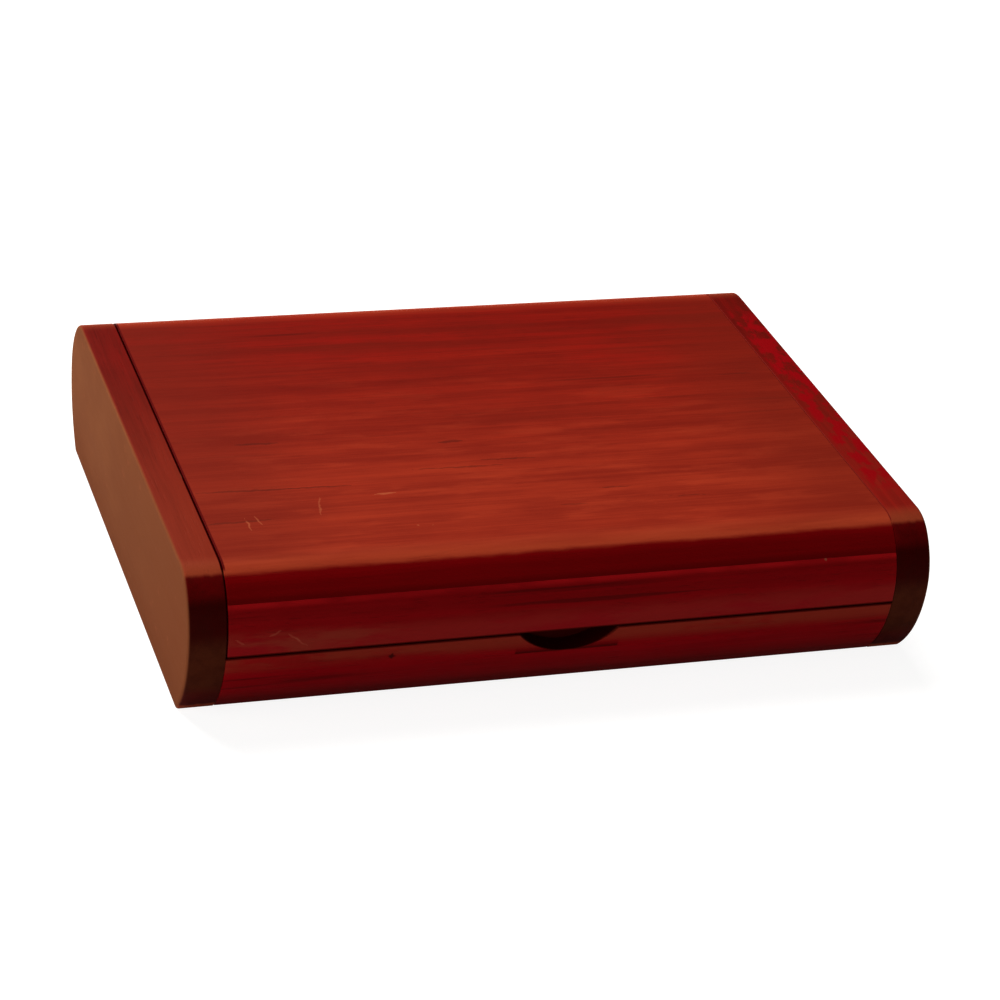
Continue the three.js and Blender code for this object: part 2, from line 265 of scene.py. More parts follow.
def round_over(solid, radius, segments, wanted=lambda middle: True, sharpness=14):
    """Rounds the edges sharper than some degrees whose middle is wanted. Marks the new faces worn."""
    edit(solid)
    bpy.ops.mesh.select_mode(type="EDGE")
    bpy.ops.mesh.select_all(action="DESELECT")
    mesh = bmesh.from_edit_mesh(solid.data)
    for edge in mesh.edges:
        sharp = len(edge.link_faces) == 2 and edge.calc_face_angle() > math.radians(sharpness)
        edge.select_set(bool(sharp and wanted((edge.verts[0].co + edge.verts[1].co) / 2)))
    bmesh.update_edit_mesh(solid.data)
    bpy.ops.mesh.bevel(offset=radius, segments=segments, affect="EDGES")
    mesh = bmesh.from_edit_mesh(solid.data)
    worn = mesh.faces.layers.float.get("worn") or mesh.faces.layers.float.new("worn")
    for face in mesh.faces:
        if face.select:
            face[worn] = 1
    bmesh.update_edit_mesh(solid.data)
    bpy.ops.mesh.select_mode(type="VERT")
    bpy.ops.object.mode_set(mode="OBJECT")


def cut_with(solid, cutter):
    """Takes the cutter's shape out of the solid."""
    cut = solid.modifiers.new("cut", "BOOLEAN")
    cut.operation = "DIFFERENCE"
    cut.solver = "EXACT"
    cut.object = cutter
    pick(solid)
    bpy.ops.object.modifier_apply(modifier=cut.name)
    bpy.data.objects.remove(cutter)


def bore_for(solid, nodes, room=0.0001):
    """Bores a hole along X in the solid for each rod, a little wider and longer than the rod."""
    for node in nodes:
        low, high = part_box(node)
        bpy.ops.object.select_all(action="DESELECT")
        bpy.ops.mesh.primitive_cylinder_add(
            vertices=48,
            radius=(high.z - low.z) / 2 + room,
            depth=high.x - low.x + 2 * room,
            location=(low + high) / 2,
            rotation=(0, math.radians(90), 0),
        )
        cut_with(solid, bpy.context.object)


def finish_piece(piece, material, slot, body, *nodes):
    """Smooths a piece's curves, gives it its finish and lets it stand for its CAD nodes."""
    pick(piece)
    bpy.ops.object.shade_smooth_by_angle(angle=smooth_below)
    piece.data.materials.append(material)
    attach(piece, body)
    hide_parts(*nodes)


def add_math(tree, operation, first, second=None, third=None):
    """A Math node on sockets or numbers. Gives its output."""
    node = tree.nodes.new("ShaderNodeMath")
    node.operation = operation
    for socket, value in zip(node.inputs, (first, second, third)):
        if isinstance(value, bpy.types.NodeSocket):
            tree.links.new(value, socket)
        elif value is not None:
            socket.default_value = value
    return node.outputs[0]


def add_vector_math(tree, operation, first, second):
    """A Vector Math node on sockets or vectors. Gives its output."""
    node = tree.nodes.new("ShaderNodeVectorMath")
    node.operation = operation
    for socket, value in zip(node.inputs, (first, second)):
        if isinstance(value, bpy.types.NodeSocket):
            tree.links.new(value, socket)
        else:
            socket.default_value = value
    return node.outputs["Value" if operation in ("DOT_PRODUCT", "LENGTH") else "Vector"]


def add_noise(tree, place, stretch, detail=3.0, roughness=0.55):
    """Noise with so many features per metre along each axis. Gives its value."""
    noise = tree.nodes.new("ShaderNodeTexNoise")
    noise.inputs["Scale"].default_value = 1
    noise.inputs["Detail"].default_value = detail
    noise.inputs["Roughness"].default_value = roughness
    tree.links.new(add_vector_math(tree, "MULTIPLY", place, stretch), noise.inputs["Vector"])
    return noise.outputs["Fac"]


def add_ramp(tree, value, low, high, to_low=0.0, to_high=1.0):
    """A value eased from low to high into to_low to to_high. Gives its output."""
    node = tree.nodes.new("ShaderNodeMapRange")
    node.interpolation_type = "SMOOTHSTEP"
    values = {"Value": value, "From Min": low, "From Max": high, "To Min": to_low, "To Max": to_high}
    for name, value in values.items():
        if isinstance(value, bpy.types.NodeSocket):
            tree.links.new(value, node.inputs[name])
        else:
            node.inputs[name].default_value = value
    return node.outputs["Result"]


def add_mix(tree, share, first, second):
    """Two colours mixed. Gives the colour."""
    node = tree.nodes.new("ShaderNodeMix")
    node.data_type = "RGBA"
    for socket, value in ((node.inputs[0], share), (node.inputs[6], first), (node.inputs[7], second)):
        if isinstance(value, bpy.types.NodeSocket):
            tree.links.new(value, socket)
        else:
            socket.default_value = value if isinstance(value, float) else (*value, 1)
    return node.outputs[2]


def new_group(name, inputs, outputs):
    """A shader node group with these named sockets. Gives its tree, its input and its output node."""
    group = bpy.data.node_groups.new(name, "ShaderNodeTree")
    for socket, kind in inputs.items():
        group.interface.new_socket(socket, in_out="INPUT", socket_type="NodeSocket" + kind)
    for socket, kind in outputs.items():
        group.interface.new_socket(socket, in_out="OUTPUT", socket_type="NodeSocket" + kind)
    return group, group.nodes.new("NodeGroupInput").outputs, group.nodes.new("NodeGroupOutput").inputs


# The grain of one board, with X along the fibres: growth rings about a far-off heart, bands and
# streaks that follow the fibres, mottled figure across them, fine fibre, and open pores.
grain_group, grain_in, grain_out = new_group(
    "board_grain",
    {"Place": "Vector", "Heart": "Vector", "Rings": "Float"},
    {"Tone": "Float", "Streak": "Float", "Hue": "Float", "Pore": "Float", "Height": "Float"},
)
place = grain_in["Place"]
across_fibres = grain_group.nodes.new("ShaderNodeSeparateXYZ")
heart_offset = add_vector_math(grain_group, "SUBTRACT", place, grain_in["Heart"])
grain_group.links.new(heart_offset, across_fibres.inputs[0])
across_square = add_math(grain_group, "POWER", across_fibres.outputs["Y"], 2)
up_square = add_math(grain_group, "POWER", across_fibres.outputs["Z"], 2)
from_heart = add_math(grain_group, "SQRT", add_math(grain_group, "ADD", across_square, up_square))
sway = add_noise(grain_group, place, (5, 18, 18), 2)
from_heart = add_math(grain_group, "MULTIPLY_ADD", sway, 0.012, from_heart)
ring_share = add_math(grain_group, "FRACT", add_math(grain_group, "MULTIPLY", from_heart, grain_in["Rings"]))
early_wood = add_ramp(grain_group, ring_share, 0.0, 0.75)
late_wood = add_ramp(grain_group, ring_share, 0.84, 1.0)
ring = add_math(grain_group, "SUBTRACT", early_wood, late_wood)
band = add_noise(grain_group, place, (2.4, 48, 48), 3)
line = add_noise(grain_group, place, (8, 270, 270), 3, 0.6)
fibre = add_noise(grain_group, place, (45, 1300, 1300), 2, 0.6)
figure = add_noise(grain_group, place, (34, 55, 55), 3, 0.6)
tone = add_math(grain_group, "MULTIPLY", ring, 0.06)
for part, weight in ((band, 0.3), (line, 0.32), (fibre, 0.2), (figure, 0.16)):
    tone = add_math(grain_group, "MULTIPLY_ADD", part, weight, tone)
grain_group.links.new(add_ramp(grain_group, tone, 0.36, 0.66), grain_out["Tone"])
streaky_part = add_ramp(grain_group, add_noise(grain_group, place, (6, 26, 26), 2), 0.5, 0.6)
streak = add_ramp(grain_group, add_noise(grain_group, place, (11, 420, 420), 2), 0.58, 0.7)
streak = add_math(grain_group, "MULTIPLY", streak, streaky_part)
grain_group.links.new(streak, grain_out["Streak"])
hue = add_noise(grain_group, place, (9, 22, 22), 3, 0.6)
grain_group.links.new(add_ramp(grain_group, hue, 0.38, 0.62), grain_out["Hue"])
pore = add_ramp(grain_group, add_noise(grain_group, place, (130, 2200, 2200), 1, 0.4), 0.62, 0.74)
grain_group.links.new(pore, grain_out["Pore"])
height = add_math(grain_group, "MULTIPLY", fibre, 0.5)
height = add_math(grain_group, "MULTIPLY_ADD", line, 0.6, height)
height = add_math(grain_group, "MULTIPLY_ADD", pore, -0.7, height)
grain_group.links.new(height, grain_out["Height"])

# Patches on rounded edges: where the lacquer has rubbed thin, and on the end blocks also a painted highlight.
wear_group, wear_in, wear_out = new_group(
    "edge_wear", {"Place": "Vector", "Edge": "Float", "Amount": "Float"}, {"Mask": "Float"}
)
rubbed = add_noise(wear_group, wear_in["Place"], (110, 110, 170), 4, 0.65)
rubbed_from = add_math(wear_group, "SUBTRACT", 0.68, add_math(wear_group, "MULTIPLY", wear_in["Amount"], 0.4))
rubbed = add_ramp(wear_group, rubbed, rubbed_from, add_math(wear_group, "ADD", rubbed_from, 0.3))
wear_group.links.new(add_math(wear_group, "MULTIPLY", rubbed, wear_in["Edge"]), wear_out["Mask"])

# A mark along a line: a scratch, a dent or a dark streak, with an uneven edge.
mark_group, mark_in, mark_out = new_group(
    "mark", {"Place": "Vector", "From": "Vector", "Run": "Vector", "Width": "Float"}, {"Mask": "Float"}
)
uneven = mark_group.nodes.new("ShaderNodeTexNoise")
uneven.inputs["Scale"].default_value = 300
mark_group.links.new(mark_in["Place"], uneven.inputs["Vector"])
wobble = add_vector_math(mark_group, "SUBTRACT", uneven.outputs["Color"], (0.5, 0.5, 0.5))
wobble = add_vector_math(mark_group, "MULTIPLY", wobble, (0.0016, 0.0016, 0.0016))
from_start = add_vector_math(mark_group, "SUBTRACT", mark_in["Place"], mark_in["From"])
from_start = add_vector_math(mark_group, "ADD", from_start, wobble)
reach = add_vector_math(mark_group, "DOT_PRODUCT", from_start, mark_in["Run"])
run_square = add_vector_math(mark_group, "DOT_PRODUCT", mark_in["Run"], mark_in["Run"])
share_along = add_math(mark_group, "DIVIDE", reach, run_square)
share_along.node.use_clamp = True
run_part = mark_group.nodes.new("ShaderNodeVectorMath")
run_part.operation = "SCALE"
mark_group.links.new(mark_in["Run"], run_part.inputs[0])
mark_group.links.new(share_along, run_part.inputs["Scale"])
aside = mark_group.nodes.new("ShaderNodeVectorMath")
aside.operation = "DISTANCE"
mark_group.links.new(from_start, aside.inputs[0])
mark_group.links.new(run_part.outputs[0], aside.inputs[1])
thin_ends = add_math(mark_group, "PINGPONG", share_along, 0.5)
width_share = add_ramp(mark_group, thin_ends, 0, 0.3, 0.2, 0.5)
half_width = add_math(mark_group, "MULTIPLY", mark_in["Width"], width_share)
closeness = add_math(mark_group, "DIVIDE", aside.outputs["Value"], half_width)
mark_group.links.new(add_ramp(mark_group, closeness, 0.3, 1.2, 1, 0), mark_out["Mask"])


class Board:
    """A stained and lacquered board's material. Its colour is built up layer by layer."""

    def __init__(self, name, turn, offset, heart, rings, light, dark, red, brown, streak):
        self.material = bpy.data.materials.new(name)
        self.material.use_nodes = True
        self.tree = self.material.node_tree
        self.shader = self.tree.nodes["Principled BSDF"]
        self.place = self.tree.nodes.new("ShaderNodeTexCoord").outputs["Object"]
        mapping = self.tree.nodes.new("ShaderNodeMapping")
        mapping.inputs["Rotation"].default_value = turn
        mapping.inputs["Location"].default_value = offset
        self.tree.links.new(self.place, mapping.inputs["Vector"])
        self.grain = self.tree.nodes.new("ShaderNodeGroup")
        self.grain.node_tree = grain_group
        self.grain.inputs["Heart"].default_value = heart
        self.grain.inputs["Rings"].default_value = rings
        self.tree.links.new(mapping.outputs["Vector"], self.grain.inputs["Place"])
        self.tone = self.grain.outputs["Tone"]
        parts = self.tree.nodes.new("ShaderNodeSeparateXYZ")
        self.tree.links.new(self.place, parts.inputs[0])
        self.x, self.y, self.z = parts.outputs
        tinted_light = add_mix(self.tree, self.grain.outputs["Hue"], light, red)
        tinted_dark = add_mix(self.tree, self.grain.outputs["Hue"], dark, brown)
        self.colour = add_mix(self.tree, self.tone, tinted_light, tinted_dark)
        self.layer(self.scaled(self.grain.outputs["Streak"], 0.7), streak)
        self.layer(self.scaled(self.grain.outputs["Pore"], 0.35), streak)

    def scaled(self, mask, share):
        """A mask times another mask or a number."""
        return add_math(self.tree, "MULTIPLY", mask, share)

    def layer(self, mask, colour):
        """Lays a colour over what is there, where the mask is 1."""
        self.colour = add_mix(self.tree, mask, self.colour, colour)

    def keep_first_red(self):
        """Painted shade: a darker red laid over the back half and the inner faces, against the bright back
        light.
        """
        back_shade_red = add_mix(self.tree, self.tone, (0.15, 0.0045, 0.005), (0.1, 0.003, 0.0035))
        self.layer(add_ramp(self.tree, self.y, -0.02, 0.02, 0, 0.9), back_shade_red)
        off_centre = add_math(self.tree, "ABSOLUTE", self.y)
        self.layer(add_ramp(self.tree, off_centre, 0.0955, 0.093, 0, 0.9), back_shade_red)

    def wear(self, edge, amount, colour):
        """Rubbed patches where edge is 1."""
        worn = self.tree.nodes.new("ShaderNodeGroup")
        worn.node_tree = wear_group
        worn.inputs["Amount"].default_value = amount
        self.tree.links.new(self.place, worn.inputs["Place"])
        self.tree.links.new(edge, worn.inputs["Edge"])
        self.layer(worn.outputs["Mask"], colour)

    def worn_edges(self, amount, colour):
        edge = self.tree.nodes.new("ShaderNodeAttribute")
        edge.attribute_name = "worn"
        self.wear(edge.outputs["Fac"], amount, colour)

    def mark(self, start, end, width, strength, colour):
        """A streak, scratch or dent from start to end."""
        mark = self.tree.nodes.new("ShaderNodeGroup")
        mark.node_tree = mark_group
        mark.inputs["From"].default_value = start
        mark.inputs["Run"].default_value = Vector(end) - Vector(start)
        mark.inputs["Width"].default_value = width
        self.tree.links.new(self.place, mark.inputs["Place"])
        self.layer(self.scaled(mark.outputs["Mask"], strength), colour)

    def lacquer(self, rough, specular, relief=0.35, matte=None):
        """The satin lacquer over the stain, rougher in the darker grain and gone where matte is 1.
        Gives the material."""
        self.tree.links.new(self.colour, self.shader.inputs["Base Color"])
        roughness = add_math(self.tree, "MULTIPLY_ADD", self.tone, 0.12, rough)
        height = self.grain.outputs["Height"]
        if matte:
            roughness = add_math(self.tree, "MULTIPLY_ADD", matte, 0.9 - rough, roughness)
            height = self.scaled(height, add_math(self.tree, "SUBTRACT", 1, self.scaled(matte, 0.75)))
        self.tree.links.new(roughness, self.shader.inputs["Roughness"])
        self.shader.inputs["Specular IOR Level"].default_value = specular
        self.shader.inputs["Specular Tint"].default_value = (1, 0.62, 0.4, 1)
        bump = self.tree.nodes.new("ShaderNodeBump")
        bump.inputs["Strength"].default_value = relief
        bump.inputs["Distance"].default_value = 0.00015
        self.tree.links.new(height, bump.inputs["Height"])
        self.tree.links.new(bump.outputs["Normal"], self.shader.inputs["Normal"])
        return self.material


front_to_back = (0, 0, math.radians(90))
rounded_edge_highlight_brown = (0.26, 0.09, 0.045)


def block_finish(name, offset, outward, front_sheen_colours, gap_shade_colour):
    """The stained block whose outer face looks along X in the direction outward."""
    board = Board(
        name,
        turn=front_to_back,
        offset=offset,
        heart=(0, 0.03, -0.2),
        rings=230,
        light=(0.15, 0.0068, 0.0036),
        dark=(0.105, 0.0042, 0.0025),
        red=(0.16, 0.0045, 0.003),
        brown=(0.108, 0.0065, 0.0032),
        streak=(0.06, 0.004, 0.003),
    )
    tree = board.tree
    # Painted sheen: the top grows lighter towards the front, with a colour of its own for each block.
    front_sheen_share = add_ramp(tree, board.y, 0.08, -0.088, 0, 0.9)
    front_light, front_dark = front_sheen_colours
    front_sheen_colour = add_mix(tree, board.tone, front_light, front_dark)
    board.layer(front_sheen_share, front_sheen_colour)
    outwards = board.scaled(board.x, outward)
    off_centre = add_math(tree, "ABSOLUTE", board.y)
    if outward > 0:
        # Painted light: saturated red patches near the outer edge of the right block's top, standing for a
        # part that shows no sheen.
        patches = add_ramp(tree, add_noise(tree, board.place, (170, 95, 20), 3, 0.6), 0.42, 0.55)
        patches = board.scaled(patches, add_ramp(tree, outwards, 0.1265, 0.1295))
        patches = board.scaled(patches, add_ramp(tree, off_centre, 0.086, 0.064))
        board.layer(patches, (0.215, 0.0012, 0.0042))
    # Painted highlight: a lighter brown strip along the top's front and back creases.
    board.layer(add_ramp(tree, off_centre, 0.088, 0.0975, 0, 0.9), (0.23, 0.048, 0.0205))
    # Painted shade on the inner face, in the gap beside the lid.
    gap_shade = add_ramp(tree, outwards, block_inner + 0.0005, block_inner + 0.0002)
    board.layer(board.scaled(gap_shade, add_ramp(tree, off_centre, 0.098, 0.096)), gap_shade_colour)
    # Painted shade and reflection on the end grain of the front and back: dark red at the top, near black
    # below the crease, olive brown lower down as a painted reflection of the floor, and dull red at the very
    # bottom.
    height = board.z
    shade_below_crease = add_ramp(tree, height, 0.0515, 0.047)
    end_colour = add_mix(tree, shade_below_crease, (0.1, 0.0012, 0.002), (0.037, 0.0006, 0.0008))
    end_colour = add_mix(tree, add_ramp(tree, height, 0.039, 0.031), end_colour, (0.057, 0.0125, 0.0045))
    end_colour = add_mix(tree, add_ramp(tree, height, 0.017, 0.008), end_colour, (0.062, 0.0045, 0.0035))
    mottle = add_noise(tree, board.place, (220, 70, 220), 3, 0.6)
    mottle = add_ramp(tree, mottle, 0.35, 0.75, 0, 0.4)
    end_colour = add_mix(tree, mottle, end_colour, (0.028, 0.0022, 0.0014))
    # Painted shade on the end grain at the back.
    back_shade_share = add_ramp(tree, board.y, -0.02, 0.02, 0, 0.8)
    end_colour = add_mix(tree, back_shade_share, end_colour, (0.035, 0.004, 0.0025))
    ragged = add_noise(tree, board.place, (300, 60, 60), 3)
    end_edge = add_math(tree, "MULTIPLY_ADD", ragged, -0.0016, off_centre)
    board.layer(add_ramp(tree, end_edge, 0.0966, 0.0984), end_colour)
    # The outer face's matte brown is partly a browner stain and partly a painted sheen of the surround at a
    # grazing angle, mottled, with painted shade towards the front and towards the bottom.
    dulled = add_noise(tree, board.place, (40, 30, 60), 4, 0.6)
    dulled = add_ramp(tree, dulled, 0.3, 0.7)
    outer_colour = add_mix(tree, dulled, (0.19, 0.076, 0.035), (0.172, 0.066, 0.031))
    outer_front_shade = add_ramp(tree, board.y, 0.07, -0.09, 0, 0.85)
    outer_colour = add_mix(tree, outer_front_shade, outer_colour, (0.168, 0.06, 0.0275))
    outer_low_shade = add_ramp(tree, height, 0.022, 0.002, 0, 0.7)
    outer_colour = add_mix(tree, outer_low_shade, outer_colour, (0.152, 0.053, 0.0245))
    outer = add_ramp(tree, outwards, half_length - block_round * 0.75, half_length - block_round * 0.12)
    board.layer(outer, outer_colour)
    # Lighter brown patches on the rounded edges: partly wear and partly a painted highlight along the edges.
    board.worn_edges(0.2, rounded_edge_highlight_brown)
    return board.lacquer(0.45, 0.03, matte=outer)


block_outline = (
    [face_point(0)]
    + back_face(0, case_height)
    + [(-flat_edge, case_height)]
    + front_face(0, case_height)
)
block_looks = (
    ("left", -1, (0.31, 0.2, 0), ((0.19, 0.027, 0.0115), (0.14, 0.019, 0.008)), (0.075, 0.001, 0.001)),
    ("right", 1, (0.9, 0.71, 0), ((0.215, 0.014, 0.008), (0.165, 0.011, 0.0065)), (0.15, 0.009, 0.006)),
)
for side, outward, offset, front_sheen_colours, gap_shade_colour in block_looks:
    low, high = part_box(side + "_end_block")
    outer_x = high.x if outward > 0 else low.x
    block = draw_solid(side + "_end_block_wood", (-face_point(0)[0], 0), block_outline, high.x - low.x)
    shift(block, (low.x, 0, 0))
    round_over(block, block_round, 6, lambda middle: abs(middle.x - outer_x) < touching)
    round_over(block, eased, 2, lambda middle: abs(middle.x - low.x - high.x + outer_x) < touching)
    bore_for(block, ("dowel_front_" + side, "dowel_back_" + side, "hinge_pin_" + side))
    finish = block_finish(side + "_block_finish", offset, outward, front_sheen_colours, gap_shade_colour)
    finish_piece(block, finish, "stained_end_block", "case", side + "_end_block")

# ---- Base rails ---------------------------------------------------------------------------------
# The front and back of the base, moulded from solid stock with the grain along the case. The front
# rail has a thumb notch scooped out of its top edge, and the back one is hollowed for the lid's
# round bead. Both have a rabbet for the bottom panel and are glued and doweled to the end blocks.
rail_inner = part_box("base_back_rail")[0].y
base_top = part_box("base_front_rail")[1].z
rabbet_top = 0.0048
rabbet_width = 0.004
glue_line = 0.00004
notch_width = 0.0385
notch_drop = 0.0093
notch_floor = base_top - notch_drop
notch_reach = 0.011
notch_round = 0.0005
bead_room = 0.0005
seam_shade_colour = (0.06, 0.0015, 0.001)
dent_colour = (0.22, 0.09, 0.055)

left_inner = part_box("left_end_block")[1].x
right_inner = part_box("right_end_block")[0].x
rail_start = left_inner + glue_line
rail_length = right_inner - left_inner - 2 * glue_line
rail_dowels = ("dowel_{}_left", "dowel_{}_right")

base_rail_board = Board(
    "base_rail_finish",
    turn=(0, 0, 0),
    offset=(0.4, 0.33, 0.1),
    heart=(0, 0.05, -0.09),
    rings=210,
    light=(0.2, 0.0013, 0.0048),
    dark=(0.16, 0.0011, 0.0038),
    red=(0.21, 0.0011, 0.005),
    brown=(0.16, 0.0024, 0.0041),
    streak=(0.072, 0.0019, 0.0019),
)
base_rail_tree = base_rail_board.tree
base_rail_height = base_rail_board.z
# Painted reflection of the floor: brownish patches near the top of the rail.
floor_sheen_patches = add_noise(base_rail_tree, base_rail_board.place, (28, 60, 130), 4, 0.6)
floor_sheen_patches = add_ramp(base_rail_tree, floor_sheen_patches, 0.36, 0.56, 0.25, 1)
floor_sheen_high = add_ramp(base_rail_tree, base_rail_height, 0.0185, 0.0245, 0, 0.9)
base_rail_board.layer(base_rail_board.scaled(floor_sheen_patches, floor_sheen_high), (0.17, 0.022, 0.0115))
# Painted shade towards the bottom, where the rail turns under.
shade_low = add_ramp(base_rail_tree, base_rail_height, 0.011, 0.003, 0, 0.7)
base_rail_board.layer(shade_low, (0.115, 0.0045, 0.004))
base_rail_board.worn_edges(0.2, (0.22, 0.032, 0.018))
# Painted shade at the back and inside.
base_rail_board.keep_first_red()
# Painted shade at the seam with the lid.
seam_shade = add_ramp(base_rail_tree, base_rail_height, base_top - 0.0009, base_top - 0.0003)
base_rail_board.layer(seam_shade, seam_shade_colour)

# Painted shadow in the thumb notch. Known fault: the mask has no limit towards the back, so it also paints
# a dark rectangle on the middle of the back rail, and a thin line on the front just under the notch.
off_notch = add_math(base_rail_tree, "ABSOLUTE", base_rail_board.x)
in_notch = add_ramp(base_rail_tree, base_rail_board.y, 0.0014 - half_depth, 0.0028 - half_depth)
within_notch = add_ramp(base_rail_tree, off_notch, notch_width / 2 + 0.00055, notch_width / 2 - 0.00005)
in_notch = base_rail_board.scaled(in_notch, within_notch)
over_notch_floor = add_ramp(base_rail_tree, base_rail_height, notch_floor - 0.0004, notch_floor)
in_notch = base_rail_board.scaled(in_notch, over_notch_floor)
base_rail_board.layer(in_notch, (0.04, 0.0012, 0.001))
knot_colour = (0.02, 0.0025, 0.002)
base_rail_board.mark((-0.0657, -0.1085, 0.0234), (-0.0659, -0.1083, 0.0216), 0.0032, 0.8, knot_colour)
base_rail_board.mark((0.1165, -0.1048, 0.0142), (0.1168, -0.1043, 0.0126), 0.0011, 0.7, dent_colour)
base_rail_finish = base_rail_board.lacquer(0.38, 0.035)


def turn_to_front(solid):
    """Turns a piece drawn for the back half a turn about Z, to the front."""
    edit(solid)
    bpy.ops.transform.rotate(value=math.pi, orient_axis="Z", center_override=(0, 0, 0))
    bpy.ops.object.mode_set(mode="OBJECT")


rail_inner_side = [
    (rail_inner, rabbet_top),
    (rail_inner + rabbet_width, rabbet_top),
    (rail_inner + rabbet_width, 0),
    face_point(0),
]
rail_back = back_face(0, base_top)
rail_outline = rail_inner_side + rail_back
front_rail = draw_solid("base_front_rail_wood", (rail_inner, base_top), rail_outline, rail_length)
shift(front_rail, (-rail_start - rail_length, 0, 0))
turn_to_front(front_rail)
notch_radius = ((notch_width / 2) ** 2 + notch_drop**2) / (2 * notch_drop)
bpy.ops.object.select_all(action="DESELECT")
bpy.ops.mesh.primitive_cylinder_add(
    vertices=256,
    radius=notch_radius,
    depth=2 * notch_reach,
    location=(0, -half_depth, notch_floor + notch_radius),
    rotation=(math.radians(90), 0, 0),
)
cut_with(front_rail, bpy.context.object)
round_over(front_rail, notch_round, 4, lambda middle: abs(middle.x) < notch_width / 2 - touching, 30)
round_over(front_rail, eased, 2, lambda middle: abs(middle.x) > notch_width / 2, 25)

# The back rail's hollow leaves the lid's bead half a millimetre, then slopes out to a lip that the
# opened lid's back face lies over.
pin_low, pin_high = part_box("hinge_pin_left")
hinge_y = (pin_low.y + pin_high.y) / 2
hinge_z = (pin_low.z + pin_high.z) / 2
bead_radius = face_point(hinge_z)[0] - hinge_y
hollow_radius = bead_radius + bead_room
open_angle = math.radians(frame["joints"][0]["range_deg"][1])
lip_reach = 0.006
lean = math.atan2(face_point(hinge_z + lip_reach)[0] - face_point(hinge_z)[0], lip_reach)
slope_angle = -open_angle - lean
hollow_end = -math.pi + math.asin((hinge_z - base_top) / hollow_radius)
slope_side = Vector((math.cos(slope_angle), math.sin(slope_angle)))
slope_start = Vector((hinge_y, hinge_z)) + hollow_radius * slope_side
slope_run = Vector((-slope_side.y, slope_side.x))
from_centre = slope_start - Vector((half_depth - lower_radius, widest_height))
nearest = from_centre.dot(slope_run)
slope_length = math.sqrt(nearest**2 - from_centre.length_squared + lower_radius**2) - nearest
lip = slope_start + slope_run * slope_length
hollow = [tuple(slope_start), (hinge_y, hinge_z, hollow_end - slope_angle)]
back_rail = draw_solid(
    "base_back_rail_wood",
    (rail_inner, base_top),
    rail_inner_side + back_face(0, lip.y) + hollow,
    rail_length,
)
shift(back_rail, (rail_start, 0, 0))
round_over(back_rail, eased, 2, sharpness=25)
for rail, side in ((front_rail, "front"), (back_rail, "back")):
    bore_for(rail, [name.format(side) for name in rail_dowels])
    finish_piece(rail, base_rail_finish, "stained_rail", "case", f"base_{side}_rail")

# ---- Dowels -------------------------------------------------------------------------------------
# Four beech dowels, turned from straight-grained rod and glued into blind holes in the end blocks
# and the base rails.
dowel_board = Board(
    "dowel_finish",
    turn=(0, 0, 0),
    offset=(0.05, 0.6, 0.3),
    heart=(0, 0.3, -0.3),
    rings=600,
    light=(0.66, 0.45, 0.26),
    dark=(0.52, 0.33, 0.18),
    red=(0.64, 0.42, 0.24),
    brown=(0.5, 0.31, 0.16),
    streak=(0.36, 0.2, 0.1),
)
dowel_finish = dowel_board.lacquer(0.6, 0.3)
for side in ("left", "right"):
    for face in ("front", "back"):
        bpy.data.objects[f"dowel_{face}_{side}"].material_slots[0].material = dowel_finish

# ---- Hinge pins ---------------------------------------------------------------------------------
# Two drawn steel rods, pressed into the end blocks, that the lid's bead turns on. Drawing leaves
# fine lines along the rod.
pin_finish = bpy.data.materials.new("pin_finish")
pin_finish.use_nodes = True
pin_tree = pin_finish.node_tree
pin_shader = pin_tree.nodes["Principled BSDF"]
pin_place = pin_tree.nodes.new("ShaderNodeTexCoord").outputs["Object"]
drawn_lines = add_noise(pin_tree, pin_place, (90, 6000, 6000), 3)
pin_colour = add_mix(pin_tree, drawn_lines, (0.62, 0.62, 0.63), (0.46, 0.46, 0.48))
pin_tree.links.new(pin_colour, pin_shader.inputs["Base Color"])
pin_tree.links.new(add_ramp(pin_tree, drawn_lines, 0.2, 0.8, 0.24, 0.46), pin_shader.inputs["Roughness"])
pin_shader.inputs["Metallic"].default_value = 1
for side in ("left", "right"):
    bpy.data.objects["hinge_pin_" + side].material_slots[0].material = pin_finish

# ---- Bottom panel -------------------------------------------------------------------------------
# A thin stained board laid into the rabbets of the rails and glued in, flush with the underside.
inner_board = Board(
    "inner_wood_finish",
    turn=front_to_back,
    offset=(0.77, 0.15, 0.4),
    heart=(0, 0.04, -0.15),
    rings=220,
    light=(0.25, 0.072, 0.035),
    dark=(0.15, 0.036, 0.018),
    red=(0.27, 0.062, 0.03),
    brown=(0.14, 0.038, 0.018),
    streak=(0.07, 0.016, 0.009),
)
inner_board.worn_edges(0.35, (0.36, 0.15, 0.08))
inner_finish = inner_board.lacquer(0.5, 0.3)
snug = 0.00013


def seated_box(node):
    """A node's box, grown so that only a glue line is left around it."""
    low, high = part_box(node)
    grow = Vector((snug, snug, snug))
    return low - grow, high + grow


def board_between(name, low, high):
    """A plain sawn board that fills a box."""
    bpy.ops.object.select_all(action="DESELECT")
    bpy.ops.mesh.primitive_plane_add(size=1)
    board = bpy.context.object
    board.name = name
    board.data.name = name
    edit(board)
    bpy.ops.transform.resize(value=(high.x - low.x, high.y - low.y, 1))
    bpy.ops.transform.translate(value=((low.x + high.x) / 2, (low.y + high.y) / 2, low.z))
    bpy.ops.mesh.extrude_region_move(TRANSFORM_OT_translate={"value": (0, 0, high.z - low.z)})
    bpy.ops.mesh.select_all(action="SELECT")
    bpy.ops.mesh.normals_make_consistent(inside=False)
    bpy.ops.object.mode_set(mode="OBJECT")
    return board


